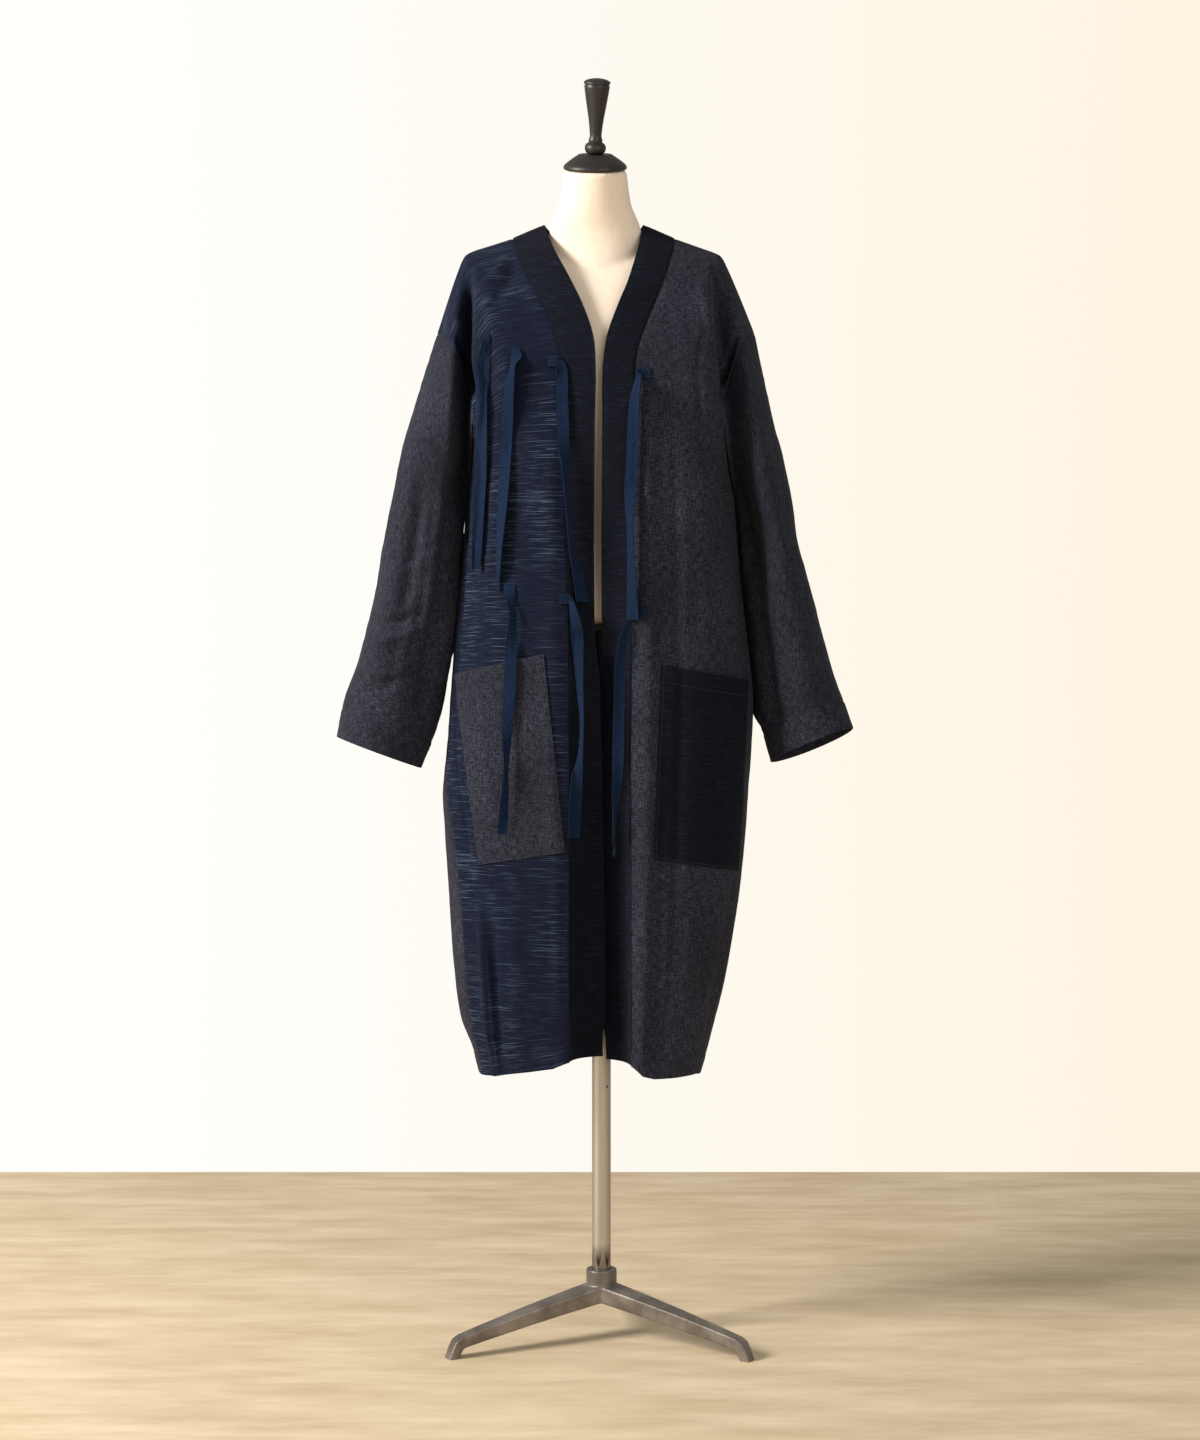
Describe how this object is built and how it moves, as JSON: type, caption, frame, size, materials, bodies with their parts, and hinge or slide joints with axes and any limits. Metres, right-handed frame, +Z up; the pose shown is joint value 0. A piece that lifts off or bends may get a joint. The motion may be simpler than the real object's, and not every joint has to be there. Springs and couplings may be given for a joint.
{
  "type": "long haori coat on a dress form stand",
  "caption": "Knee-length open-front coat with a long neckband, patch pockets and hanging cloth ties, worn on a limbless dress form with a pole and tripod base.",
  "frame": {"origin": "on the floor, under the middle of the whole part's box, 48 mm in front of the pole's axis", "axes": "+Z up along the pole; the coat's front faces -Y; the wearer's right side is at -X"},
  "size_m": [0.7006, 0.36, 1.6921],
  "materials": {
    "charcoal_denim": "mottled charcoal linen denim",
    "indigo_slub": "indigo cotton with pale horizontal slubs",
    "navy_slub": "very dark navy cotton with faint slubs",
    "blue_tape": "soft blue cotton tape",
    "form_linen": "cream linen cover",
    "black_wood": "satin black turned wood",
    "brushed_steel": "brushed steel tube",
    "cast_metal": "bronze-grey hammered casting"
  },
  "bodies": {
    "root": {"front_right": "indigo_slub", "front_left": "charcoal_denim", "back": "charcoal_denim", "sleeve_right_front": "charcoal_denim", "sleeve_right_back": "charcoal_denim", "sleeve_left_front": "charcoal_denim", "sleeve_left_back": "charcoal_denim", "neckband": "navy_slub", "pocket_right": "charcoal_denim", "pocket_left": "navy_slub", "tie_1": "blue_tape", "tie_2": "blue_tape", "tie_3": "blue_tape", "tie_4": "blue_tape", "tie_5": "blue_tape", "tie_6": "blue_tape", "tie_7": "blue_tape", "form_torso": "form_linen", "form_cap": "black_wood", "form_finial": "black_wood", "pole_socket": "cast_metal", "pole": "brushed_steel", "base": "cast_metal"}
  },
  "joints": []
}
